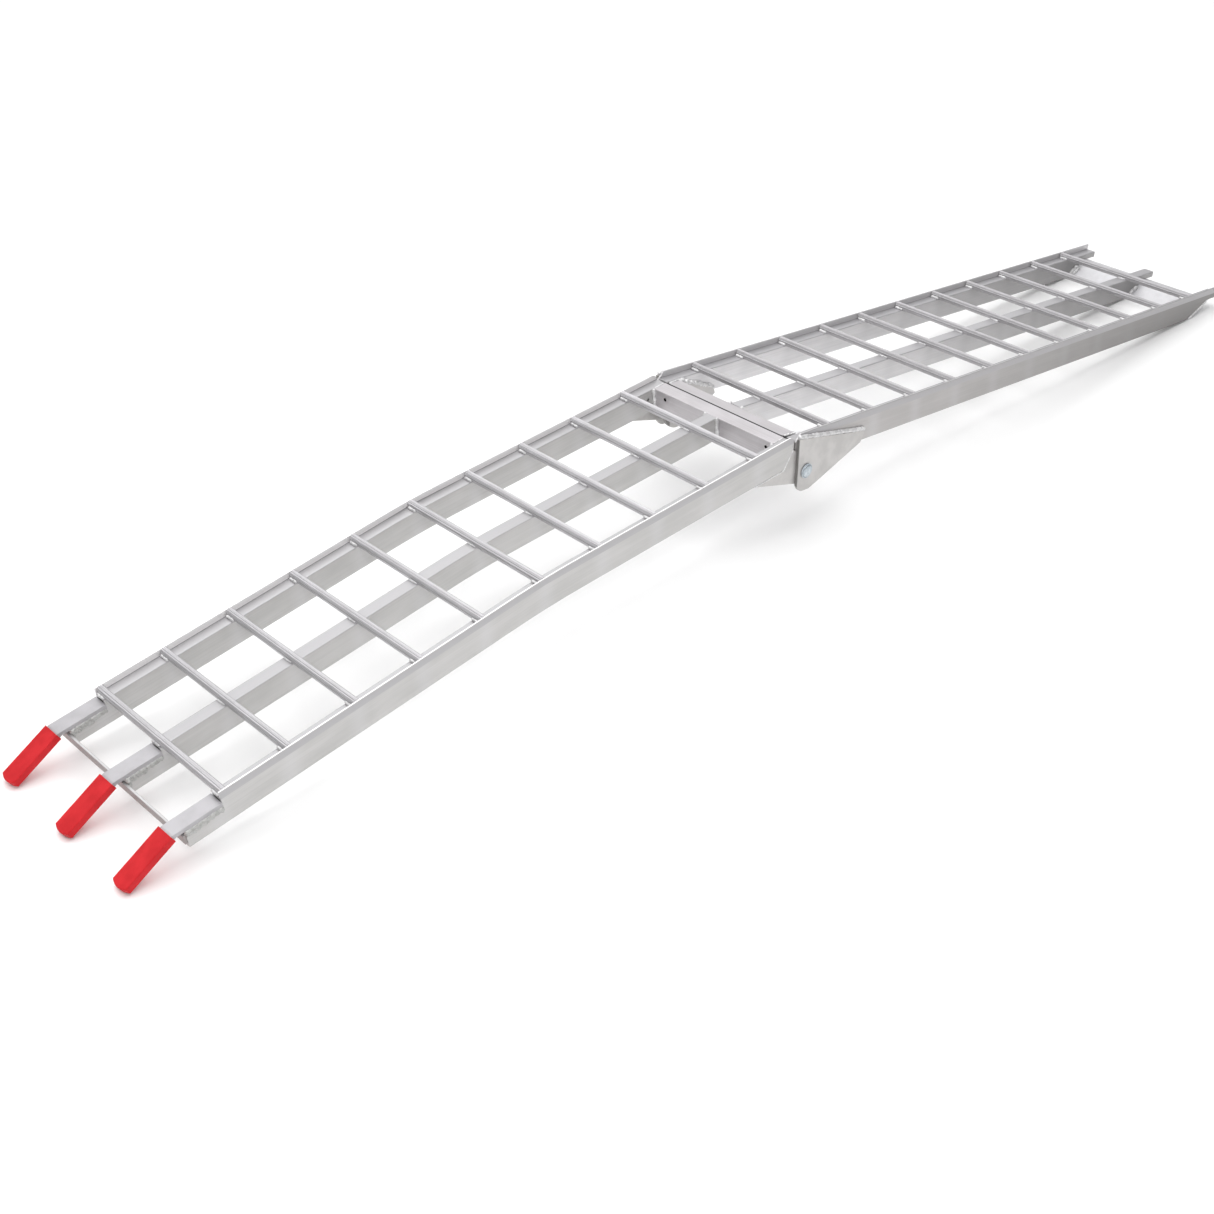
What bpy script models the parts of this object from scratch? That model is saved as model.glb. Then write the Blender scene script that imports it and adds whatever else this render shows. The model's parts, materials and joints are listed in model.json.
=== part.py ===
"""Folding arched loading ramp: two welded aluminium ladder halves on one fold axis.

The ground half lies along +X and the truck half, which bends once, runs down to -X.
Side view lengths are millimetres: along a half from the hinge gap, and above its shelf.
"""

import math

import bmesh
import bpy
from mathutils import Matrix, Vector

MM = 0.001
GAP = 0.3  # clearance between welded or touching pieces

# --- Across the ramp ---
HALF_WIDTH = 143.0  # outer face of a side rail
RAIL_INNER = 123.0  # inner face of a side rail
WALL = 3.0
LIP_HEIGHT = 10.0  # the outer wall carried up past the shelf
DEPTH = 38.0  # tube depth below the shelf
CENTRE_HALF = 10.3

# --- Along the ramp ---
BREAK_ANGLE = 9.5  # between the halves at the hinge, deployed
BEND_ANGLE = 4.5
BEND_MID = 484.0  # the truck half's bend, from the hinge gap
BEND_LENGTH = 116.0
HINGE_MITRE = math.tan(math.radians(BREAK_ANGLE / 2))
RAIL_START = 2.0
BUTT_GAP = 1.4  # between the two crossbars, the fold's stop
TRUCK_BAR = 25.0  # hinge crossbar widths
GROUND_BAR = 26.0
TRUCK_RUNG_FIRST, TRUCK_RUNG_PITCH, TRUCK_RUNG_LAST = 75.3, 102.2, 988.0
GROUND_RUNG_FIRST, GROUND_RUNG_PITCH, GROUND_RUNG_LAST = 79.0, 102.0, 1094.0
GROUND_END = 1187.0

# --- Truck end ---
NOTCH = 995.0  # the fingers are let into the rails from here
TUBE_END = 1049.0
FINGER_TOP = -5.5
FINGER_THICK = 6.4
FINGER_WIDTH = 24.2
FINGER_Y = 132.0
FINGER_BEND = 1064.0
FINGER_ANGLE = 22.25
FINGER_REACH = 75.5  # past the bend
SLEEVE_WIDTH, SLEEVE_WALL = 28.8, 1.9
SLEEVE_FROM, SLEEVE_TO, SLEEVE_TIP_R = 2.5, 83.5, 26.0
END_BAR_TOP, END_BAR_THICK, END_BAR_DEPTH, END_BAR_HALF = -17.5, 3.6, 13.6, 142.0

# --- Foot ---
FOOT_CORNER = 1101.0  # lower corner of the foot plate, level with the tube bottoms
FOOT_SLOPE = math.radians(24.3)
FOOT_THICK = 3.5
NOSE_DEPTH = 10.0  # depth of the blunt nose left above the plate

# --- Hinge ---
PIN = (28.0, -51.0)
PIN_R, HOLE_R, RUN_R = 5.0, 5.3, 5.1
HEAD_R, HEAD_THICK = 11.5, 5.0
EAR_OUT = (HALF_WIDTH + GAP, 148.0)
EAR_IN = (117.0, RAIL_INNER - GAP)
TONGUE = (137.0, HALF_WIDTH)
TONGUE_R = 22.0
INNER_NOSE_R = 28.6
DRAIN_R = 2.7

SIDES = (("left", 1), ("right", -1))


# --- Materials ---
def material(name, colour, roughness, metallic):
    mat = bpy.data.materials.new(name)
    mat.use_nodes = True
    shader = mat.node_tree.nodes["Principled BSDF"]
    shader.inputs["Base Color"].default_value = (*colour, 1)
    shader.inputs["Roughness"].default_value = roughness
    shader.inputs["Metallic"].default_value = metallic
    return mat


ALLOY = ((0.72, 0.71, 0.73), 0.38, 0.85)
VINYL = ((0.72, 0.06, 0.07), 0.5, 0.0)
ZINC = ((0.62, 0.66, 0.70), 0.3, 0.9)


# --- Side-view frames: (along, above) to (x, z) ---
def ground(along, above):
    return along, above


def truck_angle(along):
    share = (along - BEND_MID) / BEND_LENGTH + 0.5
    return math.radians(BREAK_ANGLE + BEND_ANGLE * min(1.0, max(0.0, share)))


def truck_line(along):
    """Point of the truck half's shelf line: straight, one arc, straight."""
    start, end = BEND_MID - BEND_LENGTH / 2, BEND_MID + BEND_LENGTH / 2
    first = math.radians(BREAK_ANGLE)
    run = min(along, start)
    x, z = -run * math.cos(first), -run * math.sin(first)
    if along > start:
        here = truck_angle(along)
        radius = BEND_LENGTH / math.radians(BEND_ANGLE)
        x -= radius * (math.sin(here) - math.sin(first))
        z -= radius * (math.cos(first) - math.cos(here))
    if along > end:
        last = math.radians(BREAK_ANGLE + BEND_ANGLE)
        x -= (along - end) * math.cos(last)
        z -= (along - end) * math.sin(last)
    return x, z


def truck(along, above):
    x, z = truck_line(along)
    here = truck_angle(along)
    return x - above * math.sin(here), z + above * math.cos(here)


def truck_at(x, z):
    """Inverse of truck() on its first straight."""
    first = math.radians(BREAK_ANGLE)
    return (
        -x * math.cos(first) - z * math.sin(first),
        -x * math.sin(first) + z * math.cos(first),
    )


def finger(along, above):
    """Frame of a finger past its bend; above is measured from the finger's top face."""
    x, z = truck(FINGER_BEND, FINGER_TOP)
    here = math.radians(BREAK_ANGLE + BEND_ANGLE + FINGER_ANGLE)
    return (
        x - along * math.cos(here) - above * math.sin(here),
        z - along * math.sin(here) + above * math.cos(here),
    )


# --- Outlines ---
def rounded(points, radii, steps=4):
    """Polygon with each corner filleted by its radius."""
    outline = []
    count = len(points)
    for i, (point, radius) in enumerate(zip(points, radii)):
        here = Vector(point)
        if radius == 0:
            outline.append(here)
            continue
        back = (Vector(points[i - 1]) - here).normalized()
        ahead = (Vector(points[(i + 1) % count]) - here).normalized()
        half = back.angle(ahead) / 2
        centre = here + (back + ahead).normalized() * radius / math.sin(half)
        reach = radius / math.tan(half)
        first = here + back * reach - centre
        turn = first.angle_signed(here + ahead * reach - centre)
        for k in range(steps + 1):
            outline.append(centre + Matrix.Rotation(-turn * k / steps, 2) @ first)
    return outline


def circle(centre, radius, count=32):
    return [
        (
            centre[0] + radius * math.cos(2 * math.pi * k / count),
            centre[1] + radius * math.sin(2 * math.pi * k / count),
        )
        for k in range(count)
    ]


def rung_section():
    """Fluted bar: flat base, a groove along each side and a ribbed crown."""
    half, base, waist, crown, ribs = 5.3, GAP, 4.6, 5.7, 7
    side = [(half, base), (half, waist), (half - 0.7, waist + 0.4), (half - 0.7, waist + 0.9)]
    section = list(side)
    for k in range(2 * ribs + 1):
        swing = math.radians(80 - 160 * k / (2 * ribs))
        radius = crown - (0.5 if k % 2 else 0.0)
        section.append((radius * math.sin(swing), 4.7 + radius * math.cos(swing)))
    section += [(-y, z) for y, z in reversed(side)]
    return section


# --- Solids ---
def finish(name, bm, look):
    bmesh.ops.recalc_face_normals(bm, faces=bm.faces)
    mesh = bpy.data.meshes.new(name)
    bm.to_mesh(mesh)
    bm.free()
    obj = bpy.data.objects.new(name, mesh)
    bpy.context.collection.objects.link(obj)
    if look:
        mesh.materials.append(material(name, *look))
    return obj


def loft(name, rings, look=ALLOY):
    """Closed solid through rings of points in millimetres, capped at both ends."""
    bm = bmesh.new()
    loops = [[bm.verts.new(Vector(p) * MM) for p in ring] for ring in rings]
    for one, two in zip(loops, loops[1:]):
        for k in range(len(one)):
            j = (k + 1) % len(one)
            bm.faces.new((one[k], one[j], two[j], two[k]))
    bm.faces.new(loops[0])
    bm.faces.new(loops[-1])
    return finish(name, bm, look)


def slab(name, outline, low, high, frame, look=ALLOY):
    """Side-view outline extruded across the ramp from low to high."""
    flat = [frame(u, v) for u, v in outline]
    return loft(name, [[(x, y, z) for x, z in flat] for y in (low, high)], look)


def sweep(name, section, stations, frame, lean=0.0, look=ALLOY):
    """Cross-section (across, above) carried along a half; lean mitres its first end."""
    rings = []
    for k, along in enumerate(stations):
        ring = []
        for y, above in section:
            x, z = frame(along + (above * lean if k == 0 else 0.0), above)
            ring.append((x, y, z))
        rings.append(ring)
    return loft(name, rings, look)


def turned(name, profile, look=ZINC, count=32):
    """Solid of revolution about the fold axis from (radius, across) points."""
    rings = [
        [(PIN[0] + dx, across, PIN[1] + dz) for dx, dz in circle((0, 0), radius, count)]
        for radius, across in profile
    ]
    return loft(name, rings, look)


def combine(obj, tool, operation="DIFFERENCE"):
    """Apply one exact boolean and drop the tool."""
    mod = obj.modifiers.new("Boolean", "BOOLEAN")
    mod.operation, mod.solver, mod.object = operation, "EXACT", tool
    graph = bpy.context.evaluated_depsgraph_get()
    result = bpy.data.meshes.new_from_object(obj.evaluated_get(graph))
    obj.modifiers.clear()
    old, obj.data = obj.data, result
    bpy.data.meshes.remove(old)
    bpy.data.objects.remove(tool)
    result.name = obj.name
    return obj


def cut(obj, outline, low, high, frame):
    return combine(obj, slab("cutter", outline, low, high, frame, None))


def box(u0, u1, v0, v1):
    return [(u0, v0), (u1, v0), (u1, v1), (u0, v1)]


def mirrored(side, low, high):
    return (low, high) if side > 0 else (-high, -low)


# --- Rails and tubes ---
def bend_stations(start, end, steps=8):
    first, last = BEND_MID - BEND_LENGTH / 2, BEND_MID + BEND_LENGTH / 2
    arc = [first + (last - first) * k / steps for k in range(steps + 1)]
    return [start] + arc + [end]


def rail_sections(side):
    """Outer outline of tube with lip, and its hollow."""
    outer = rounded(
        [(RAIL_INNER, -DEPTH), (HALF_WIDTH, -DEPTH), (HALF_WIDTH, LIP_HEIGHT),
         (HALF_WIDTH - WALL, LIP_HEIGHT), (HALF_WIDTH - WALL, 0), (RAIL_INNER, 0)],
        [1.5, 1.5, 1.2, 1.2, 0, 1.5], steps=2,
    )
    hollow = [(RAIL_INNER + WALL, -DEPTH + WALL), (HALF_WIDTH - WALL, -DEPTH + WALL),
              (HALF_WIDTH - WALL, -WALL), (RAIL_INNER + WALL, -WALL)]
    return ([(side * y, z) for y, z in loop] for loop in (outer, hollow))


def tube_sections():
    outer = rounded([(-CENTRE_HALF, -DEPTH), (CENTRE_HALF, -DEPTH), (CENTRE_HALF, 0),
                     (-CENTRE_HALF, 0)], [1.5] * 4, steps=2)
    inner = CENTRE_HALF - WALL
    hollow = [(-inner, -DEPTH + WALL), (inner, -DEPTH + WALL), (inner, -WALL), (-inner, -WALL)]
    return outer, hollow


def hollow_bar(name, sections, stations, frame, lean=0.0):
    """Open-ended tube: the outer sweep less a longer sweep of its hollow."""
    outer, hollow = sections
    obj = sweep(name, outer, stations, frame, lean)
    longer = [stations[0] - 20] + list(stations[1:-1]) + [stations[-1] + 20]
    return combine(obj, sweep("cutter", hollow, longer, frame, 0.0, None))


def truck_rail(name, side):
    rail = hollow_bar(name, rail_sections(side), bend_stations(RAIL_START, TUBE_END), truck,
                      -HINGE_MITRE)
    reach = mirrored(side, RAIL_INNER - 5, HALF_WIDTH + 5)
    floor = FINGER_TOP - FINGER_THICK - GAP
    cut(rail, box(NOTCH, TUBE_END + 20, floor, LIP_HEIGHT + 5), *reach, truck)
    # Lower corner at the hinge, where the tongue plate is let in
    cut(rail, [(1.5, -10), (25, -38.5), (25, -60), (-30, -60), (-30, -10)], *reach, truck)
    # Rounded end of the lip
    cut(rail, [(15, 12), (12.5, LIP_HEIGHT - 0.1), (7, 8.6), (3.5, 5), (0.5, -2.5), (-9, -2.5),
               (-9, 12)], *mirrored(side, HALF_WIDTH - WALL, HALF_WIDTH + 5), truck)
    if side > 0:
        along, above = truck_at(-35, -21)
        cut(rail, circle((along, above), DRAIN_R, 20), RAIL_INNER - 5, RAIL_INNER + WALL + 2,
            truck)
    return rail


def ground_rail(name, side):
    rail = hollow_bar(name, rail_sections(side), [RAIL_START, GROUND_END], ground, -HINGE_MITRE)
    reach = mirrored(side, RAIL_INNER - 5, HALF_WIDTH + 5)
    cut(rail, [(-20, -12), (RAIL_START, -12), (58, -38.5), (58, -60), (-20, -60)], *reach,
        ground)
    cut(rail, [(-9, -4), (0.5, -4), (13.5, 11.5), (-9, 11.5)],
        *mirrored(side, HALF_WIDTH - WALL, HALF_WIDTH + 5), ground)
    return cut(rail, foot_mitre(), *reach, ground)


def foot_mitre():
    """Everything under the foot plate's upper face and under the nose."""
    lift = FOOT_THICK + GAP
    start = FOOT_CORNER - lift / math.sin(FOOT_SLOPE)
    run = (DEPTH - NOSE_DEPTH) / math.tan(FOOT_SLOPE)
    past = 5 / math.tan(FOOT_SLOPE)
    return [(start - past, -DEPTH - 5), (start + run, -NOSE_DEPTH),
            (GROUND_END + 20, -NOSE_DEPTH), (GROUND_END + 20, -DEPTH - 5)]


def truck_centre(name):
    tube = hollow_bar(name, tube_sections(), bend_stations(TRUCK_BAR + GAP, TUBE_END), truck)
    floor = FINGER_TOP - FINGER_THICK - GAP
    return cut(tube, box(NOTCH, TUBE_END + 20, floor, 5), -20, 20, truck)


def ground_centre(name):
    tube = hollow_bar(name, tube_sections(), [GROUND_BAR + GAP, GROUND_END - 4], ground)
    return cut(tube, foot_mitre(), -20, 20, ground)


# --- Crossing pieces ---
def hinge_bar(name, width, frame):
    """Hollow crossbar between the side rails, mitred where the two halves butt."""
    lean = DEPTH * HINGE_MITRE
    start = BUTT_GAP / 2
    outline = [(start, 0), (width, 0), (width, -DEPTH), (start + lean, -DEPTH)]
    half = (RAIL_INNER if frame is truck else EAR_IN[0]) - GAP
    bar = slab(name, rounded(outline, [0.5, 1.5, 1.5, 3], 3), -half, half, frame)
    inner = [(start + WALL + lean * 0.08, -WALL), (width - WALL, -WALL),
             (width - WALL, -DEPTH + WALL), (start + WALL + lean * 0.92, -DEPTH + WALL)]
    cut(bar, inner, -half - 5, half + 5, frame)
    return bar


def drain(bar, y, above):
    """Small hole through the wall that faces the first rung."""
    rings = []
    for along in (TRUCK_BAR - WALL - 2, TRUCK_BAR + 5):
        ring = []
        for dy, dz in circle((y, above), DRAIN_R, 20):
            x, z = truck(along, dz)
            ring.append((x, dy, z))
        rings.append(ring)
    return combine(bar, loft("cutter", rings, None))


def rung(name, along, frame):
    half = HALF_WIDTH - WALL - GAP
    outline = [(along + u, v) for u, v in rung_section()]
    return slab(name, outline, -half, half, frame)


def end_bar(name):
    start = TUBE_END + GAP
    outline = box(start, start + END_BAR_THICK, END_BAR_TOP - END_BAR_DEPTH, END_BAR_TOP)
    return slab(name, rounded(outline, [0.6] * 4, 2), -END_BAR_HALF, END_BAR_HALF, truck)


def foot_plate(name):
    run = (DEPTH - NOSE_DEPTH - GAP) / math.tan(FOOT_SLOPE)
    lift_x, lift_z = FOOT_THICK * math.sin(FOOT_SLOPE), FOOT_THICK * math.cos(FOOT_SLOPE)
    outline = [
        (FOOT_CORNER, -DEPTH),
        (FOOT_CORNER + run, -NOSE_DEPTH - GAP),
        (FOOT_CORNER + run - FOOT_THICK / math.sin(FOOT_SLOPE), -NOSE_DEPTH - GAP),
        (FOOT_CORNER - lift_x, -DEPTH + lift_z),
    ]
    return slab(name, outline, -HALF_WIDTH, HALF_WIDTH, ground)


# --- Fingers ---
def finger_bar(name, y):
    """Flat bar let into a rail, bent down to the sleeve."""
    end = FINGER_REACH
    inside = FINGER_THICK * math.tan(math.radians(FINGER_ANGLE / 2))
    points = [truck(NOTCH + GAP, FINGER_TOP), truck(FINGER_BEND, FINGER_TOP), finger(end, 0),
              finger(end, -FINGER_THICK), finger(-inside, -FINGER_THICK),
              truck(NOTCH + GAP, FINGER_TOP - FINGER_THICK)]
    outline = rounded(points, [0, 9, 0.8, 0.8, 3, 0], 5)
    bar = slab(name, outline, y - FINGER_WIDTH / 2, y + FINGER_WIDTH / 2, ground)
    return bar


def sleeve_outline(inset, start, end):
    """Plan of a sleeve: straight sides and an arched tip."""
    half = SLEEVE_WIDTH / 2 - inset
    radius = SLEEVE_TIP_R - inset
    swing = math.asin(half / radius)
    arc = [swing * (1 - 2 * k / 12) for k in range(13)]
    return [(start, half)] + [
        (end - radius + radius * math.cos(a), radius * math.sin(a)) for a in arc
    ] + [(start, -half)]


def sleeve_body(name, y, inset, start, end, edge, look):
    """Sleeve plan extruded through its thickness, with softened top and bottom rims."""
    rings = []
    top, bottom = GAP + SLEEVE_WALL - inset, -FINGER_THICK - GAP - SLEEVE_WALL + inset
    levels = [(bottom, edge), (bottom + 0.3 * edge, 0.3 * edge), (bottom + edge, 0)]
    levels += [(top - edge, 0), (top - 0.3 * edge, 0.3 * edge), (top, edge)]
    for above, shrink in levels if edge else ((bottom, 0), (top, 0)):
        ring = []
        for along, across in sleeve_outline(inset + shrink, start, end - shrink):
            x, z = finger(along, above)
            ring.append((x, y + across, z))
        rings.append(ring)
    return loft(name, rings, look)


def finger_sleeve(name, y):
    body = sleeve_body(name, y, 0.0, SLEEVE_FROM, SLEEVE_TO, 1.5, VINYL)
    hollow = sleeve_body("cutter", y, SLEEVE_WALL, SLEEVE_FROM - 5, SLEEVE_TO - SLEEVE_WALL - 1,
                         0.0, None)
    return combine(body, hollow)


# --- Hinge plates and hardware ---
def bored(obj, low, high, radius):
    return cut(obj, circle(PIN, radius), low - 3, high + 3, ground)


def outer_ear(name, side):
    outline = rounded([(4, 4), (157, -20), (150, -37), (40, -83.5), (12.5, -83.5)],
                      [2, 4, 4, 15, 15], 6)
    low, high = mirrored(side, *EAR_OUT)
    return bored(slab(name, outline, low, high, ground), low, high, HOLE_R)


def inner_ear(name, side):
    """Like the outer ear, but stepped under the crossbar and with a round nose."""
    nose = circle(PIN, INNER_NOSE_R, 48)
    outline = [(27, -3), (106, -31.5), (110, -41)] + nose[42:23:-1] + [(8, -38.6), (27, -38.6)]
    low, high = mirrored(side, *EAR_IN)
    return bored(slab(name, outline, low, high, ground), low, high, HOLE_R)


def tongue(name, side):
    """Plate welded to the truck rail: one edge under the rail, a round nose on the pin."""
    centre = Vector(truck_at(*PIN))
    tail = Vector((84, -DEPTH - 0.35))
    top = Vector((3.2, -12.6))

    def tangent(point, turn):
        reach = point - centre
        bearing = math.atan2(reach.y, reach.x)
        return bearing + turn * math.acos(TONGUE_R / reach.length)

    lower, upper = tangent(tail, -1), tangent(top, 1)
    sweep_angle = (upper - lower) % (2 * math.pi) - 2 * math.pi
    steps = 20
    nose = []
    for k in range(steps + 1):
        a = lower + sweep_angle * k / steps
        nose.append(centre + TONGUE_R * Vector((math.cos(a), math.sin(a))))
    outline = [top, Vector((24.4, -DEPTH - 0.35)), tail] + nose
    low, high = mirrored(side, *TONGUE)
    plate = slab(name, outline, low, high, truck)
    return bored(plate, low, high, RUN_R)


def hinge_pin(name, side):
    """Domed head outside the outer ear, plain shank to the nut."""
    face = EAR_OUT[1] + GAP
    rim = HEAD_R - 2.0
    profile = [(PIN_R - 0.8, 104.5), (PIN_R, 105.5), (PIN_R, face), (HEAD_R - 0.6, face),
               (HEAD_R, face + 0.6), (HEAD_R, face + 1.8), (rim, face + 2.2)]
    for k in range(1, 6):
        swing = math.radians(16 * k)
        profile.append((rim * math.cos(swing), face + 2.2 + (HEAD_THICK - 2.2) * math.sin(swing)))
    return turned(name, [(r, side * y) for r, y in profile])


def lock_nut(name, side):
    outside, middle, inside = EAR_IN[0] - GAP, EAR_IN[0] - 7.5, EAR_IN[0] - 10.5
    body = turned(name, [(8.6, side * outside), (9.2, side * (outside - 0.6)),
                         (9.2, side * (middle + 0.6)), (8.6, side * middle)], ZINC, 6)
    ring = turned("ring", [(7.6, side * (middle + 1)), (7.6, side * (inside + 0.8)),
                           (6.8, side * inside)], None)
    combine(body, ring, "UNION")
    return bored(body, *mirrored(side, inside, outside), HOLE_R)


def pin_spacer(name, side):
    """Tube on the pin that fills the rail's width between inner ear and tongue."""
    low, high = mirrored(side, EAR_IN[1] + GAP, TONGUE[0] - GAP)
    tube = turned(name, [(8.5, low), (8.5, high)])
    return bored(tube, low, high, HOLE_R)


# --- Assembly ---
def build_truck_half():
    parts = []
    for word, side in SIDES:
        parts.append(truck_rail(f"truck_rail_{word}", side))
        parts.append(tongue(f"hinge_tongue_{word}", side))
    parts.append(truck_centre("truck_centre_tube"))
    bar = hinge_bar("truck_hinge_bar", TRUCK_BAR, truck)
    drain(bar, 99, -11)
    parts.append(drain(bar, -109, -11))
    parts.append(end_bar("truck_end_bar"))
    places = [TRUCK_RUNG_FIRST + TRUCK_RUNG_PITCH * k for k in range(9)] + [TRUCK_RUNG_LAST]
    for k, along in enumerate(places):
        parts.append(rung(f"truck_rung_{k + 1:02d}", along, truck))
    for word, side in SIDES + (("centre", 0),):
        parts.append(finger_bar(f"finger_{word}", side * FINGER_Y))
        parts.append(finger_sleeve(f"finger_sleeve_{word}", side * FINGER_Y))
    return parts


def build_ground_half():
    parts = []
    for word, side in SIDES:
        parts.append(ground_rail(f"ground_rail_{word}", side))
        parts.append(outer_ear(f"hinge_ear_{word}_outer", side))
        parts.append(inner_ear(f"hinge_ear_{word}_inner", side))
        parts.append(hinge_pin(f"hinge_pin_{word}", side))
        parts.append(lock_nut(f"lock_nut_{word}", side))
        parts.append(pin_spacer(f"pin_spacer_{word}", side))
    parts.append(ground_centre("ground_centre_tube"))
    parts.append(hinge_bar("ground_hinge_bar", GROUND_BAR, ground))
    parts.append(foot_plate("foot_plate"))
    places = [GROUND_RUNG_FIRST + GROUND_RUNG_PITCH * k for k in range(10)]
    for k, along in enumerate(places + [GROUND_RUNG_LAST]):
        parts.append(rung(f"ground_rung_{k + 1:02d}", along, ground))
    return parts


def frame_empty(name, parent=None):
    obj = bpy.data.objects.new(name, None)
    bpy.context.collection.objects.link(obj)
    obj.parent = parent
    return obj


def stand(parts_ground, parts_truck):
    """Tip the arch until finger tips and foot corner are level, then centre it."""
    tip = Vector(finger(SLEEVE_TO, -FINGER_THICK - GAP - SLEEVE_WALL))
    foot = Vector((FOOT_CORNER, -DEPTH))
    slope = math.atan2(foot.y - tip.y, foot.x - tip.x)
    arch = frame_empty("arch_frame")
    axis = frame_empty("fold_axis", arch)
    axis.location = (PIN[0] * MM, 0, PIN[1] * MM)
    to_axis = Matrix.Translation(-axis.location)
    for obj in parts_ground:
        obj.parent = arch
    for obj in parts_truck:
        obj.data.transform(to_axis)
        obj.parent = axis
    arch.rotation_euler = (0, slope, 0)
    bpy.context.view_layer.update()
    corners = [obj.matrix_world @ v.co for obj in parts_ground + parts_truck
               for v in obj.data.vertices]
    low_x, high_x = min(c.x for c in corners), max(c.x for c in corners)
    arch.location = (-(low_x + high_x) / 2, 0, -min(c.z for c in corners))


def main():
    for obj in list(bpy.data.objects):
        bpy.data.objects.remove(obj)
    ground_parts, truck_parts = build_ground_half(), build_truck_half()
    stand(ground_parts, truck_parts)
    for obj in ground_parts + truck_parts:
        obj.data.shade_smooth()
        obj.data.set_sharp_from_angle(angle=math.radians(35))


main()
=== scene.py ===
# %% [markdown]
# # Folding loading ramp
# The ramp is two welded aluminium ladders that fold on one axis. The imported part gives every
# tube, plate and rung its true size, so this lesson adds what a welder and a factory add:
# extrusion lines, heat tint, weld beads, dipped vinyl and zinc plate.

import json
import math
import random

import bmesh
import bpy
from mathutils import Matrix, Vector


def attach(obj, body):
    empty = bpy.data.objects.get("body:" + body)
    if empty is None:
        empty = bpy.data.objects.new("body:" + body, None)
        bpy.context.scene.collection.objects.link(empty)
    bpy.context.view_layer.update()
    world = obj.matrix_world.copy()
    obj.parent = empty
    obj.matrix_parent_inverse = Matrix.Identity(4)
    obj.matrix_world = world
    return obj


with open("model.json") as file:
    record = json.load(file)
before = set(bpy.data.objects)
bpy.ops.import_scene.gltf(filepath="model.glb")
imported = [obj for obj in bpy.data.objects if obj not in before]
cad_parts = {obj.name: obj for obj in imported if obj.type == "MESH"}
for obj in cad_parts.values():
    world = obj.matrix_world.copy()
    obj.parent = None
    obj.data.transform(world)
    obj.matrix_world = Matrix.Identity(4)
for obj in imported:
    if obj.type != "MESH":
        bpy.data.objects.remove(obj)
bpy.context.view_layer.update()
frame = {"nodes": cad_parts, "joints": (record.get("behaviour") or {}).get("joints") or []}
nodes = frame["nodes"]

# %% [markdown]
# ## Where things are
# Each half is measured the way a fabricator would: along it from the hinge gap, across it, and
# above its shelf, in millimetres. The hinge gap is found from the fold joint, whose pin sits
# 28 mm along and 51 mm below. The truck half runs down to -X and has one shallow bend.

# %% Positions along each half
MM = 0.001
SLOPE = math.radians(6.319)
PIN_ALONG, PIN_BELOW = 28.0, -51.0
BREAK, BEND = math.radians(9.5), math.radians(4.5)
BEND_FROM, BEND_TO = 426.0, 542.0
BEND_MIDDLE = (BEND_FROM + BEND_TO) / 2
TRUCK_RUNG_FIRST, TRUCK_RUNG_PITCH, TRUCK_RUNG_LAST = 75.3, 102.2, 988.0
GROUND_RUNG_FIRST, GROUND_RUNG_PITCH, GROUND_RUNG_LAST = 79.0, 102.0, 1094.0
OUTER_FACE = 143.0  # of a side rail, across
DRAINS, DRAIN_ABOVE, DRAIN_R = (-109.0, 99.0), -11.0, 2.7
TRUCK_BAR = 25.0  # width of the truck half's hinge crossbar
TRUCK_END = 1049.0
pin = Vector(frame["joints"][0]["pos_m"])
tip_over = Matrix.Rotation(SLOPE, 4, "Y")
hinge = pin - tip_over @ Vector((PIN_ALONG * MM, 0, PIN_BELOW * MM))


def on_ground(along, across, above):
    return hinge + tip_over @ (Vector((along, across, above)) * MM)


def truck_lean(along):
    share = (along - BEND_FROM) / (BEND_TO - BEND_FROM)
    return BREAK + BEND * min(1.0, max(0.0, share))


def on_truck(along, across, above):
    """Straight, one arc, straight, as the rail runs."""
    run = min(along, BEND_FROM)
    x, z = -run * math.cos(BREAK), -run * math.sin(BREAK)
    here = truck_lean(along)
    if along > BEND_FROM:
        radius = (BEND_TO - BEND_FROM) / BEND
        x -= radius * (math.sin(here) - math.sin(BREAK))
        z -= radius * (math.cos(BREAK) - math.cos(here))
    if along > BEND_TO:
        x -= (along - BEND_TO) * math.cos(here)
        z -= (along - BEND_TO) * math.sin(here)
    x, z = x - above * math.sin(here), z + above * math.cos(here)
    return hinge + tip_over @ (Vector((x, across, z)) * MM)


print("hinge gap at", hinge, "truck end at", on_truck(TRUCK_END, 0, 0))

# %% [markdown]
# ## Camera
# A long lens from above the near side of the truck end shows both halves and the fold.

# %% Camera
lens_data = bpy.data.cameras.new("ramp_view")
lens_data.lens, lens_data.sensor_width = 52.97, 36.0
lens_data.clip_end = 50
camera = bpy.data.objects.new("ramp_view", lens_data)
camera.location = (-1.77316, -1.62712, 1.40061)
camera.rotation_euler = (0.980545, 0.010013, -0.753453)
bpy.context.scene.collection.objects.link(camera)
bpy.context.scene.camera = camera
print("camera", round((camera.location - hinge).length, 3), "m from the hinge")

# %% [markdown]
# ## Shader maths in Python
# `Wire` wraps one socket, so `1 - mask` or `lines * 0.3` adds the Math node for it. `Finish`
# starts a material, and its `add` makes any other node.

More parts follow.
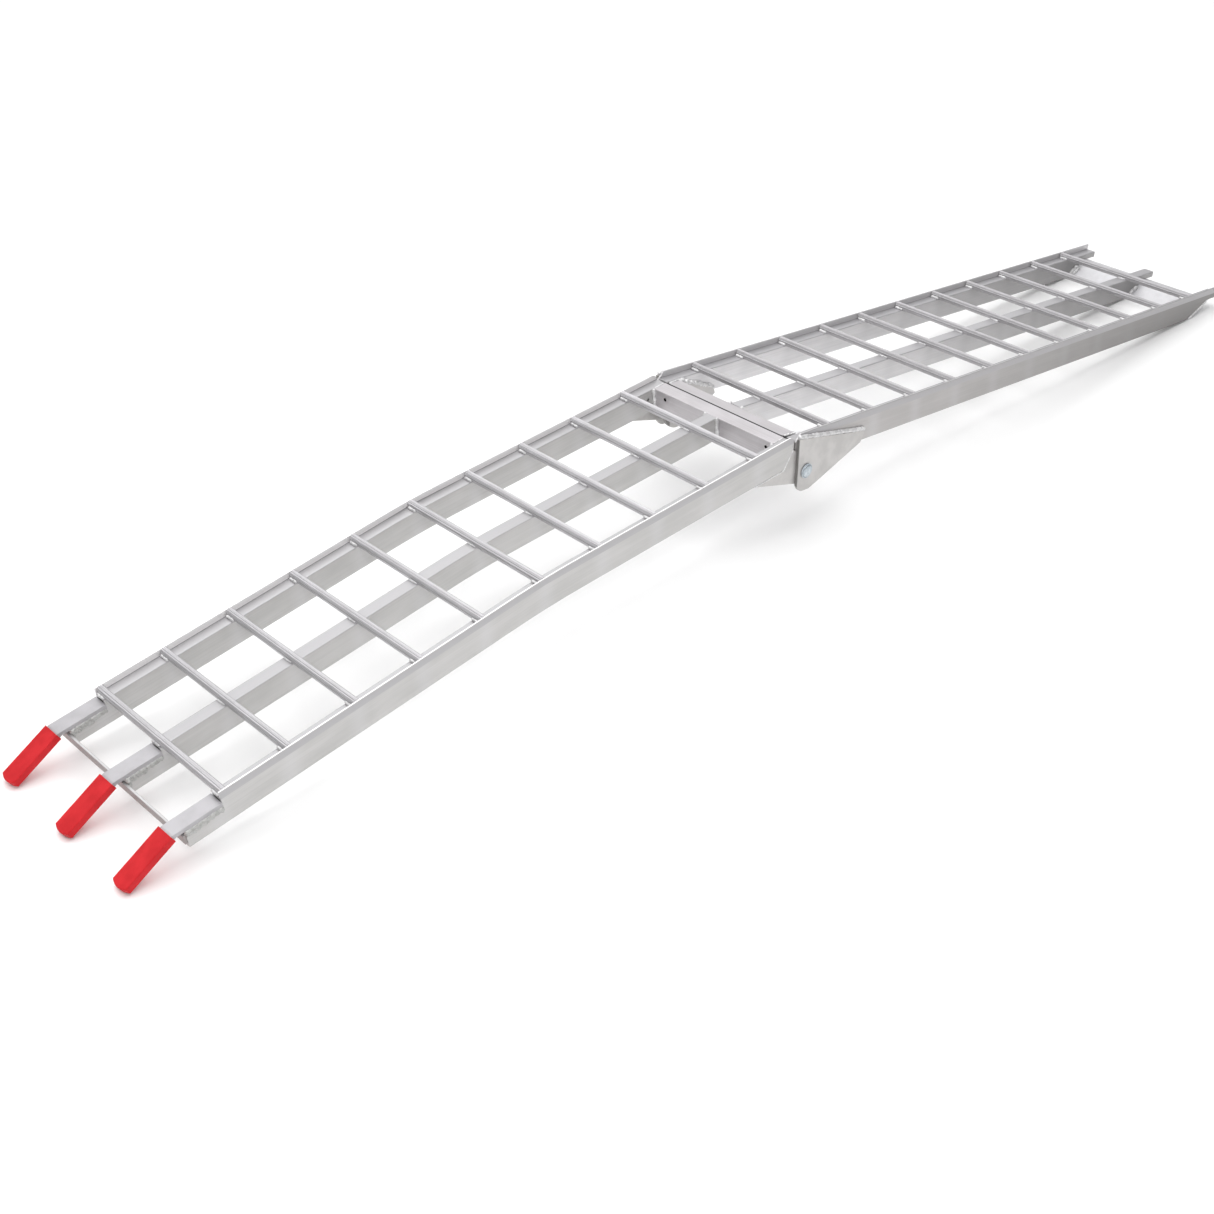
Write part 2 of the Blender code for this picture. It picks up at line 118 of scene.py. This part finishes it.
# %% Wire and Finish
class Wire:
    """One output socket that Python operators can do maths on."""

    def __init__(self, socket):
        self.socket = socket

    def maths(self, operation, first, second=0.0):
        tree = self.socket.id_data
        node = tree.nodes.new("ShaderNodeMath")
        node.operation = operation
        for slot, value in zip(node.inputs, (first, second)):
            plug(tree, slot, value)
        return Wire(node.outputs[0])

    def __add__(self, other):
        return self.maths("ADD", self, other)

    def __radd__(self, other):
        return self.maths("ADD", other, self)

    def __sub__(self, other):
        return self.maths("SUBTRACT", self, other)

    def __rsub__(self, other):
        return self.maths("SUBTRACT", other, self)

    def __mul__(self, other):
        return self.maths("MULTIPLY", self, other)

    def __rmul__(self, other):
        return self.maths("MULTIPLY", other, self)

    def __truediv__(self, other):
        return self.maths("DIVIDE", self, other)

    def __pow__(self, other):
        return self.maths("POWER", self, other)

    def __abs__(self):
        return self.maths("ABSOLUTE", self)

    def highest(self, other):
        return self.maths("MAXIMUM", self, other)

    def fraction(self):
        return self.maths("FRACT", self)


def plug(tree, slot, value):
    """Link a wire, or set a plain value on the socket."""
    if isinstance(value, Wire):
        tree.links.new(value.socket, slot)
    else:
        slot.default_value = value


class Finish:
    """A material under construction."""

    def __init__(self, name):
        self.material = bpy.data.materials.new(name)
        self.material.use_nodes = True
        self.tree = self.material.node_tree
        self.shader = self.tree.nodes["Principled BSDF"]

    def add(self, kind, settings=None, sockets=None, out=0):
        node = self.tree.nodes.new("ShaderNode" + kind)
        for key, value in (settings or {}).items():
            setattr(node, key, value)
        for key, value in (sockets or {}).items():
            plug(self.tree, node.inputs[key], value)
        return Wire(node.outputs[out])

    def place(self):
        """x, y and z of the surface in the ramp's own frame."""
        spot = self.add("TexCoord", out="Object")
        split = self.add("SeparateXYZ", sockets={0: spot}).socket.node
        return [Wire(split.outputs[k]) for k in range(3)]

    def noise(self, x, y, z, scale, detail=2.0, rough=0.5):
        spot = self.add("CombineXYZ", sockets={0: x, 1: y, 2: z})
        return self.add("TexNoise", sockets={"Vector": spot, "Scale": scale, "Detail": detail,
                                             "Roughness": rough})

    def fade(self, value, start, end, low=0.0, high=1.0):
        """Smooth step of value from start to end."""
        return self.add("MapRange", {"interpolation_type": "SMOOTHSTEP"},
                        {0: value, 1: start, 2: end, 3: low, 4: high})

    def mix(self, share, one, two):
        node = self.tree.nodes.new("ShaderNodeMix")
        node.data_type = "RGBA"
        plug(self.tree, node.inputs[0], share)
        for slot, colour in ((6, one), (7, two)):
            plug(self.tree, node.inputs[slot], colour if isinstance(colour, Wire) else (*colour, 1))
        return Wire(node.outputs[2])

    def bump(self, height, depth):
        """Relief of that depth in metres."""
        return self.add("Bump", sockets={"Height": height, "Distance": depth, "Strength": 1.0})

    def done(self, **sockets):
        for key, value in sockets.items():
            name = key.replace("_", " ")
            if isinstance(value, tuple):
                value = (*value, 1)
            plug(self.tree, self.shader.inputs[name], value)
        return self.material


def paint(name, material):
    """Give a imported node, or a new piece, this finish."""
    obj = nodes[name] if name in nodes else bpy.data.objects[name]
    obj.data.materials.clear()
    obj.data.materials.append(material)


print("shader helpers ready")

# %% [markdown]
# ## Extruded aluminium
# Tubes come off the extrusion press with fine die lines along their length, cloudy oxide in
# between, and a paler patch wherever a rung was welded on. Tyres dull the deck faces. The inner
# face of the lip gets a painted highlight, and the walls of the ground half get painted shade
# that darkens towards its far end. On the ground half the far rail and centre tube get a lighter
# copy of the alloy as painted light, and the near rail a darker copy as painted shade. The lines
# have to run along each half, so the height they are read from is taken above the sloping shelf,
# bend included.

# %% Tube finish
def shelf_height(x, z, truck_side):
    """Height above the shelf, and distance along from the hinge gap."""
    x = x - hinge.x
    z = z - hinge.z
    if not truck_side:
        return z + x * math.tan(SLOPE), x / math.cos(SLOPE)
    near, far = BREAK - SLOPE, BREAK + BEND - SLOPE
    back = x * -1.0
    past = (back - BEND_MIDDLE * MM * math.cos(near)).highest(0.0)
    drop = back * math.tan(near) + past * (math.tan(far) - math.tan(near))
    return z + drop, back / math.cos(near)


def rung_patch(finish, along, first, pitch, width):
    """Pale weld-heated band under every rung."""
    turn = ((along - first) / pitch + 10.5).fraction() - 0.5
    return finish.fade(abs(turn) * pitch, 0.0, width, 1.0, 0.0)


def tube_finish(name, truck_side, light, dark, lip_highlight, deck_wear, far_end_shading=0.0):
    finish = Finish(name)
    x, y, z = finish.place()
    above, along = shelf_height(x, z, truck_side)
    lines = finish.noise(along * 1.5, y * 300, above * 300, 1.0, 3.0)
    fine = finish.noise(along * 6, y * 1500, above * 1500, 1.0, 2.0)
    cloud = finish.noise(along * 14, y * 40, above * 40, 1.0, 3.0)
    if truck_side:
        first, pitch = TRUCK_RUNG_FIRST, TRUCK_RUNG_PITCH
    else:
        first, pitch = GROUND_RUNG_FIRST, GROUND_RUNG_PITCH
    heat = rung_patch(finish, along, first * MM, pitch * MM, 0.022)
    tone = lines * 0.35 + fine * 0.2 + cloud * 0.45
    colour = finish.mix(finish.fade(tone, 0.36, 0.64), dark, light)
    colour = finish.mix(heat * 0.3, colour, PALE)
    deck = finish.fade(above, -0.0016, -0.0004)
    colour = finish.mix(deck * deck_wear, colour, WORN)
    inside = finish.fade(abs(y), (OUTER_FACE - 0.8) * MM, (OUTER_FACE - 0.2) * MM, 1.0, 0.0)
    # painted highlight: the inner face of the lip above the shelf is mixed towards a near-white
    # tone
    lip = finish.fade(above, 0.0004, 0.0014) * inside
    colour = finish.mix(lip * lip_highlight, colour, LIP_HIGHLIGHT_TONE)
    # painted shade: the walls, not the deck faces, darken along the ground half towards its far end
    if far_end_shading:
        far_end_shade = finish.fade(along, 0.1, 1.2, 0.0, far_end_shading) * (1.0 - deck)
        colour = finish.mix(far_end_shade, colour, FAR_END_SHADE_TONE)
    rough = 0.36 + cloud * 0.12 + heat * 0.06
    relief = finish.bump(lines * 0.6 + fine * 0.4, 0.00012)
    return finish.done(Base_Color=colour, Roughness=rough, Metallic=0.55, Normal=relief)


PALE, WORN = (0.66, 0.655, 0.67), (0.42, 0.413, 0.428)
LIP_HIGHLIGHT_TONE, FAR_END_SHADE_TONE = (0.98, 0.965, 0.965), (0.19, 0.184, 0.18)
truck_tube = tube_finish("truck tube alloy", True, (0.565, 0.556, 0.55), (0.485, 0.48, 0.472),
                         lip_highlight=1.0, deck_wear=0.8)
# painted light: the ground half's far rail and centre tube get a lighter copy of the alloy, and its
# near rail a darker copy as painted shade
lit_copy_tube = tube_finish("lit copy tube alloy", False, (0.80, 0.79, 0.80), (0.69, 0.68, 0.69),
                          lip_highlight=0.3, deck_wear=0.8, far_end_shading=0.7)
shaded_copy_tube = tube_finish("shaded copy tube alloy", False, (0.50, 0.485, 0.48), (0.43, 0.415, 0.41),
                        lip_highlight=0.3, deck_wear=0.8, far_end_shading=0.75)
for name in ("truck_rail_left", "truck_rail_right", "truck_centre_tube"):
    paint(name, truck_tube)
for name in ("ground_rail_left", "ground_centre_tube"):
    paint(name, lit_copy_tube)
paint("ground_rail_right", shaded_copy_tube)
print("tubes painted")

# %% [markdown]
# ## Crossing pieces and plates
# Rungs and crossbars were extruded too, so their lines run across the ramp. Sheared plates
# have a duller, cloudier face, and the end bar's front face is the dullest of all.

# %% Rung, crossbar and plate finishes
def cross_finish(name, light, dark, truck_side=None):
    """Lines run across the ramp. A rung gets painted shade as dark lines along its flutes, a
    crossbar gets painted shade on its faces in the butt gap and painted black discs for the shaded
    inside of its drain holes."""
    finish = Finish(name)
    x, y, z = finish.place()
    lines = finish.noise(x * 900, y * 4, z * 900, 1.0, 2.0)
    cloud = finish.noise(x * 60, y * 25, z * 60, 1.0, 3.0)
    colour = finish.mix(finish.fade(lines * 0.5 + cloud * 0.5, 0.36, 0.64), dark, light)
    if truck_side is not None:
        above, along = shelf_height(x, z, truck_side)
        # painted shade: dark lines in the rung's flutes
        flute = abs((above / 0.0032).fraction() - 0.5)
        flute_shade = finish.fade(flute, 0.05, 0.24, 1.0, 0.0) * finish.fade(above, 0.0022, 0.0034)
        colour = finish.mix(flute_shade * 0.6, colour, (0.20, 0.20, 0.205))
    else:
        # painted shade: the crossbar faces within the butt gap are painted near-black
        butt_gap_shade = finish.fade(abs(x - hinge.x), 0.0013, 0.0019, 1.0, 0.0)
        colour = finish.mix(butt_gap_shade * 0.9, colour, (0.05, 0.05, 0.05))
        level = on_truck(TRUCK_BAR, 0, DRAIN_ABOVE).z
        middle, apart = sum(DRAINS) / 2 * MM, (DRAINS[1] - DRAINS[0]) / 2 * MM
        reach = ((abs(y - middle) - apart) ** 2.0 + (z - level) ** 2.0) ** 0.5
        # painted shade: a black disc stands for the shaded inside of each drain hole
        drain_hole_shade = finish.fade(reach, DRAIN_R * MM, (DRAIN_R + 0.4) * MM, 1.0, 0.0)
        colour = finish.mix(drain_hole_shade, colour, (0.01, 0.01, 0.01))
    relief = finish.bump(lines, 0.0001)
    return finish.done(Base_Color=colour, Roughness=0.32 + cloud * 0.14, Metallic=0.5,
                       Normal=relief)


END_BAR_TOP = -17.5


def end_bar_finish():
    """Painted highlight on the top face and top edge, dull warm front face. The edge is the last
    0.8 mm below the bar's top.
    """
    finish = Finish("end bar alloy")
    x, y, z = finish.place()
    cloud = finish.noise(x * 60, y * 25, z * 60, 1.0, 3.0)
    colour = finish.mix(cloud, (0.28, 0.25, 0.245), (0.38, 0.35, 0.345))
    # painted highlight: everything above the edge level gets a paler tone
    edge = on_truck(TRUCK_END + 1.5, 0, END_BAR_TOP - 0.8).z
    colour = finish.mix(finish.fade(z, edge, edge + 0.0006), colour, (0.52, 0.515, 0.52))
    return finish.done(Base_Color=colour, Roughness=0.45, Metallic=0.4)


EAR_EDGE_START, EAR_EDGE_LEAN = 4.4, 0.0971  # an ear's edge by the hinge gap, along per mm down


def plate_finish(name, light, dark, shaded_edge=False):
    """Cloudy sheared plate. An ear's edge by the hinge gap gets painted shade."""
    finish = Finish(name)
    x, y, z = finish.place()
    cloud = finish.noise(x, y, z, 34.0, 4.0, 0.55)
    grain = finish.noise(x, y, z * 3.0, 520.0, 2.0)
    colour = finish.mix(finish.fade(cloud, 0.34, 0.66), dark, light)
    if shaded_edge:
        x, z = x - hinge.x, z - hinge.z
        along = x * math.cos(SLOPE) - z * math.sin(SLOPE)
        above = z * math.cos(SLOPE) + x * math.sin(SLOPE)
        past_edge = along + above * EAR_EDGE_LEAN - EAR_EDGE_START * MM
        # painted shade: a dark band along the ear's edge by the hinge gap
        edge_shade = finish.fade(past_edge, 0.0002, 0.0014, 1.0, 0.0)
        colour = finish.mix(edge_shade * 0.75, colour, (0.12, 0.115, 0.11))
    relief = finish.bump(grain * 0.5 + cloud * 0.5, 0.0002)
    return finish.done(Base_Color=colour, Roughness=0.4 + grain * 0.12, Metallic=0.5,
                       Normal=relief)


truck_rung = cross_finish("truck rung alloy", (0.56, 0.55, 0.57), (0.48, 0.47, 0.485), True)
ground_rung = cross_finish("ground rung alloy", (0.46, 0.45, 0.465), (0.39, 0.38, 0.39), False)
bar_alloy = cross_finish("crossbar alloy", (0.53, 0.508, 0.525), (0.46, 0.44, 0.453))
plate_alloy = plate_finish("plate alloy", (0.58, 0.565, 0.555), (0.50, 0.488, 0.48))
ear_alloy = plate_finish("ear alloy", (0.58, 0.565, 0.555), (0.50, 0.488, 0.48), shaded_edge=True)
finger_alloy = plate_finish("finger alloy", (0.45, 0.44, 0.458), (0.40, 0.39, 0.405))
foot_alloy = plate_finish("foot plate alloy", (0.66, 0.655, 0.675), (0.58, 0.576, 0.592))
for name in nodes:
    if "_rung_" in name:
        paint(name, truck_rung if name.startswith("truck") else ground_rung)
    elif name.endswith("_bar"):
        paint(name, bar_alloy)
    elif name.startswith("hinge_ear"):
        paint(name, ear_alloy)
    elif name.startswith("hinge_tongue"):
        paint(name, plate_alloy)
    elif name in ("finger_left", "finger_centre", "finger_right"):
        paint(name, finger_alloy)
paint("foot_plate", foot_alloy)
paint("truck_end_bar", end_bar_finish())
print("rungs, bars and plates painted")

# %% [markdown]
# ## Dipped vinyl
# The finger sleeves are soft red vinyl with a faint orange-peel skin.

# %% Vinyl finish
def vinyl_finish():
    finish = Finish("red vinyl")
    x, y, z = finish.place()
    cloud = finish.noise(x, y, z, 45.0, 3.0)
    peel = finish.noise(x, y, z, 700.0, 2.0)
    colour = finish.mix(finish.fade(cloud, 0.3, 0.7), (0.52, 0.012, 0.017), (0.62, 0.020, 0.026))
    relief = finish.bump(peel * 0.4 + cloud * 0.6, 0.0003)
    return finish.done(Base_Color=colour, Roughness=0.42 + cloud * 0.16, Metallic=0.0,
                       Specular_IOR_Level=0.2, Normal=relief)


vinyl = vinyl_finish()
for name in nodes:
    if name.startswith("finger_sleeve"):
        paint(name, vinyl)
print("sleeves painted")

# %% [markdown]
# ## Zinc plate
# The hinge pins are zinc plated: bluish, bright and slightly spotted, with painted shade in the
# ring where the dome meets its rim.

# %% Zinc finish
DOME_RIM = 9.8  # radius where a pin's dome meets its rim


def zinc_finish():
    finish = Finish("zinc plate")
    x, y, z = finish.place()
    reach = ((x - pin.x) ** 2.0 + (z - pin.z) ** 2.0) ** 0.5
    # painted shade: a dark ring in the crease where the dome meets its rim
    crease_shade = finish.fade(abs(reach - DOME_RIM * MM), 0.0, 0.0012, 1.0, 0.0)
    spots = finish.noise(x, y, z, 260.0, 3.0)
    colour = finish.mix(finish.fade(spots, 0.35, 0.65), (0.42, 0.47, 0.51), (0.58, 0.625, 0.66))
    colour = finish.mix(crease_shade * 0.7, colour, (0.16, 0.19, 0.22))
    return finish.done(Base_Color=colour, Roughness=0.24 + spots * 0.16, Metallic=0.85,
                       Normal=finish.bump(spots, 0.0002))


zinc = zinc_finish()
for name in nodes:
    if name.startswith(("hinge_pin", "lock_nut", "pin_spacer")):
        paint(name, zinc)
print("hardware painted")

# %% [markdown]
# ## Weld beads
# A hand-fed bead is a row of small puddles, each frozen over the last. Short rows of squashed
# balls copy that well, and cheaply. Every bead is a path of points on one half, and the beads
# of one job are one piece that rides with its half.

# %% Bead maker
dice = random.Random(7)


def weld_finish(name, dark, light):
    finish = Finish(name)
    x, y, z = finish.place()
    soot = finish.noise(x, y, z, 160.0, 3.0)
    grit = finish.noise(x, y, z, 900.0, 2.0)
    colour = finish.mix(finish.fade(soot, 0.32, 0.62), dark, light)
    relief = finish.bump(grit * 0.4 + soot * 0.6, 0.0004)
    return finish.done(Base_Color=colour, Roughness=0.34 + soot * 0.2, Metallic=0.5,
                       Normal=relief)


bright_weld = weld_finish("bright weld", (0.56, 0.555, 0.56), (0.76, 0.755, 0.76))
# a darker weld tone, used for the finger welds
dark_weld = weld_finish("dark weld", (0.38, 0.38, 0.37), (0.50, 0.50, 0.49))


def bead(bm, place, start, end, size, wave=0.0):
    """Puddles of about size mm from start to end, each (along, across, above)."""
    first, last = Vector(start), Vector(end)
    count = max(3, round((last - first).length / (size * 0.55)) + 1)
    row = bmesh.new()
    for k in range(count):
        spot = first.lerp(last, k / (count - 1))
        spot.z += wave * math.sin(k * 1.3 + first.x)
        radius = size * dice.uniform(0.85, 1.2)
        shape = Matrix.Translation(place(*spot)) @ Matrix.Rotation(dice.uniform(0, 3), 4, "Z")
        shape = shape @ Matrix.Diagonal((dice.uniform(0.85, 1.1), 1.0, dice.uniform(0.8, 1), 1))
        bmesh.ops.create_icosphere(row, subdivisions=2, radius=radius * MM, matrix=shape)
    pass_mesh = bpy.data.meshes.new("pass")
    row.to_mesh(pass_mesh)
    row.free()
    bm.from_mesh(pass_mesh)
    bpy.data.meshes.remove(pass_mesh)


def weld_piece(name, body, beads, look):
    """One piece from (place, start, end, size[, wave]) rows."""
    bm = bmesh.new()
    for row in beads:
        bead(bm, *row)
    mesh = bpy.data.meshes.new(name)
    bm.to_mesh(mesh)
    bm.free()
    mesh.shade_smooth()
    obj = bpy.data.objects.new(name, mesh)
    bpy.context.scene.collection.objects.link(obj)
    paint(name, look)
    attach(obj, body)
    print(name, len(beads), "beads", len(mesh.polygons), "faces")
    return obj


# %% [markdown]
# ## Rung welds
# Each rung is tacked on both shelves and over the centre tube. The tack on the truck-facing
# side is the bigger one, and it stops short of the lip.

# %% Rung welds
TRUCK_RUNGS = [TRUCK_RUNG_FIRST + TRUCK_RUNG_PITCH * k for k in range(9)] + [TRUCK_RUNG_LAST]
GROUND_RUNGS = [GROUND_RUNG_FIRST + GROUND_RUNG_PITCH * k for k in range(10)] + [GROUND_RUNG_LAST]


def rung_welds(place, rungs, truckward):
    rows = []
    for along in rungs:
        for side in (1, -1):
            big, small = along + truckward * 6.0, along - truckward * 5.8
            rows.append((place, (big, side * 125, 1.8), (big, side * 135.5, 1.8), 2.5))
            rows.append((place, (small, side * 126, 1.0), (small, side * 137, 1.0), 1.8))
            edge = along + truckward * side * 5.8
            rows.append((place, (edge, -6, 0.9), (edge, 6, 0.9), 1.7))
    return rows


weld_piece("truck_rung_welds", "truck_half", rung_welds(on_truck, TRUCK_RUNGS, 1), bright_weld)
weld_piece("ground_rung_welds", "ground_half", rung_welds(on_ground, GROUND_RUNGS, -1),
           bright_weld)

# %% [markdown]
# ## Hinge welds
# The crossbars have upright fillets in their corners. A long bead holds each ear's upper edge,
# and a thin one follows the seam of the tongue plate.

# %% Hinge welds
def hinge_truck_welds():
    rows = []
    for side in (1, -1):
        rows.append((on_truck, (26.5, side * 121.3, -2), (26.5, side * 121.3, -36), 3.0))
        rows.append((on_truck, (26.8, side * 12.2, -1), (26.8, side * 12.2, -35), 3.2))
        rows.append((on_truck, (4, side * 123, -0.4), (22, side * 123, -0.4), 1.5))
        rows.append((on_truck, (3.8, side * 142.6, -12.4), (24, side * 142.6, -38), 1.2))
        rows.append((on_truck, (25, side * 142.4, -38.2), (82, side * 142.4, -38.2), 1.4))
    return rows


def hinge_ground_welds():
    rows = []
    for side in (1, -1):
        rows.append((on_ground, (27.6, side * 115.5, -3), (27.6, side * 115.5, -36), 2.8))
        rows.append((on_ground, (27.8, side * 12.2, -1), (27.8, side * 12.2, -35), 3.0))
        rows.append((on_ground, (5, side * 118, -0.6), (25, side * 120, -0.6), 1.8))
        rows.append((on_ground, (8, side * 145.2, 6.0), (156, side * 145.2, -17.2), 3.5, 0.2))
        rows.append((on_ground, (29, side * 121, -3.0), (106, side * 121, -30.4), 4.2, 1.2))
    return rows


weld_piece("truck_hinge_welds", "truck_half", hinge_truck_welds(), bright_weld)
weld_piece("ground_hinge_welds", "ground_half", hinge_ground_welds(), bright_weld)

# %% [markdown]
# ## Finger and foot welds
# The flat fingers are laid in notches and welded along both lower edges in wavy passes, which are
# painted darker than the other welds. The foot plate has short tacks inside the tubes and a thin
# bead under each rail.

# %% Finger and foot welds
FINGER_ACROSS = 132


def finger_welds():
    rows = []
    for middle, half in ((FINGER_ACROSS, 11.2), (-FINGER_ACROSS, 11.2), (0, 10.9)):
        for side in (1, -1):
            across = middle + side * half
            rows.append((on_truck, (998, across, -13.2), (1047, across, -13.2), 2.9))
            rows.append((on_truck, (998, across, -15.2), (1047, across, -16.4), 2.9, 0.8))
            rows.append((on_truck, (1018, across, -18.0), (1047, across, -19.2), 2.8, 0.8))
    for across in (12.6, 120.6):
        for side in (1, -1):
            rows.append((on_truck, (1046, side * across, -14), (1047, side * across, -22), 3.0))
    return rows


def foot_welds():
    rows = []
    for side in (1, -1):
        for across in (121.8, 12.0):
            rows.append((on_ground, (1111, side * across, -27.5), (1127, side * across, -20.5),
                         4.2, 0.8))
            rows.append((on_ground, (1112, side * (across - 6), -29.0),
                         (1127, side * (across - 6), -22.0), 3.6, 0.8))
        rows.append((on_ground, (1104, side * 142.6, -35.4), (1152, side * 142.6, -13.7), 2.1))
    return rows


weld_piece("finger_welds", "truck_half", finger_welds(), dark_weld)
weld_piece("foot_welds", "ground_half", foot_welds(), bright_weld)

# %% [markdown]
# ## Floor and light
# A pale floor and broad soft lights, as in a product studio. The overhead panel whitens the top
# faces, a weaker one at the near side fills the rail's outer face, and the weakest lifts the far
# side of the ground end.

# %% Studio
FLOOR_DROP = 0.0006  # keeps the floor clear of the resting tips


def floor():
    bm = bmesh.new()
    bmesh.ops.create_grid(bm, x_segments=1, y_segments=1, size=12.0)
    bmesh.ops.translate(bm, verts=bm.verts, vec=(0, 0, -FLOOR_DROP))
    mesh = bpy.data.meshes.new("studio_floor")
    bm.to_mesh(mesh)
    bm.free()
    obj = bpy.data.objects.new("studio_floor", mesh)
    bpy.context.scene.collection.objects.link(obj)
    finish = Finish("studio floor")
    paint("studio_floor", finish.done(Base_Color=(0.93, 0.93, 0.93), Roughness=0.9))


def panel(name, spot, aim, size, power):
    lamp = bpy.data.lights.new(name, "AREA")
    lamp.shape, lamp.size, lamp.energy = "SQUARE", size, power
    obj = bpy.data.objects.new(name, lamp)
    obj.location = spot
    obj.rotation_euler = (Vector(aim) - Vector(spot)).to_track_quat("-Z", "Y").to_euler()
    bpy.context.scene.collection.objects.link(obj)


floor()
panel("overhead", (-0.1, 1.2, 4.5), (0.0, 0, 0), 7.0, 320)
panel("front_left", (-1.7, -2.4, 2.2), (-0.6, 0, 0.1), 1.8, 42)
panel("back_right", (4.0, 3.0, 1.8), (0.6, 0, 0.1), 2.6, 20)
sky = bpy.data.worlds.new("studio")
sky.use_nodes = True
sky.node_tree.nodes["Background"].inputs["Color"].default_value = (1, 1, 1, 1)
sky.node_tree.nodes["Background"].inputs["Strength"].default_value = 0.34
bpy.context.scene.world = sky
bpy.context.scene.view_settings.view_transform = "Standard"
print("studio lit")
